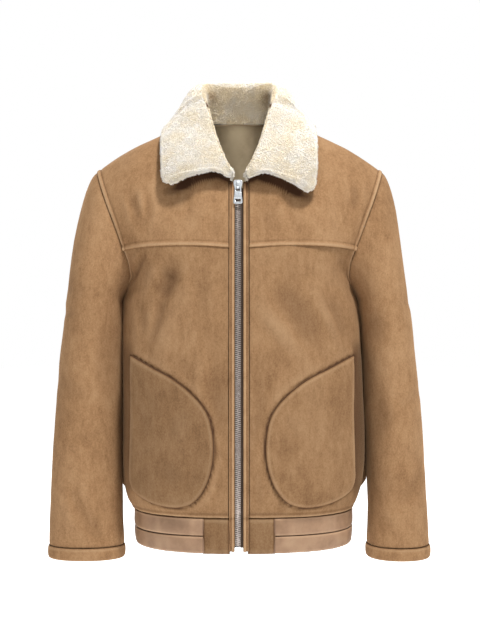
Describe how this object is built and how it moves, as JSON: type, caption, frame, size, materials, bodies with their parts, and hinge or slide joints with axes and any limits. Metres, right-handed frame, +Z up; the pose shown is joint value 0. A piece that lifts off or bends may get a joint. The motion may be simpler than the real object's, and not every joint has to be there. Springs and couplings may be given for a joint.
{
  "type": "shearling-collar zip-up jacket",
  "caption": "Hip-length tan suede jacket, filled out as worn, with a wide shearling collar, front zip, curved patch pockets and a smooth leather hem band.",
  "frame": {"origin": "middle of the neck at the height of the shoulder seams' neck ends, where the wearer's shoulders hold the jacket", "axes": "+Z up the body, the front with its zip faces -Y, the wearer's left side is +X"},
  "size_m": [0.6229, 0.2785, 0.791],
  "materials": {
    "suede": "matt napped suede, warm tan",
    "suede_low": "matt napped suede, a little darker on the pockets",
    "smooth_leather": "smooth grain leather, pale tan, satin",
    "shearling": "cream shearling fur",
    "neck_lining_leather": "smooth dark tan skin side",
    "zip_tape": "woven dark brown tape",
    "zip_metal": "worn grey brass teeth",
    "slider_metal": "bright nickel"
  },
  "bodies": {
    "jacket": {"front_right": "suede", "front_left": "suede", "yoke_right": "suede", "yoke_left": "suede", "back": "suede", "sleeve_right": "suede", "sleeve_left": "suede", "cuff_right": "suede", "cuff_left": "suede", "pocket_right": "suede_low", "pocket_left": "suede_low", "hem_tab_right": "suede", "hem_tab_left": "suede", "front_edge_right": "suede", "front_edge_left": "suede", "hem_band_upper": "smooth_leather", "hem_band_lower": "smooth_leather", "collar": "shearling", "neck_lining": "neck_lining_leather", "zip_tape_right": "zip_tape", "zip_tape_left": "zip_tape", "zip_chain": "zip_metal", "zip_end_box": "slider_metal", "zip_slider": "slider_metal"},
    "pull": {"zip_pull": "slider_metal"}
  },
  "joints": [
    {"name": "zip_pull_swing", "type": "hinge", "parent": "jacket", "child": "pull", "pos_m": [-0.0015, -0.10143, -0.12297], "axis": [-1, 0, 0], "range_deg": [0, 140]}
  ]
}
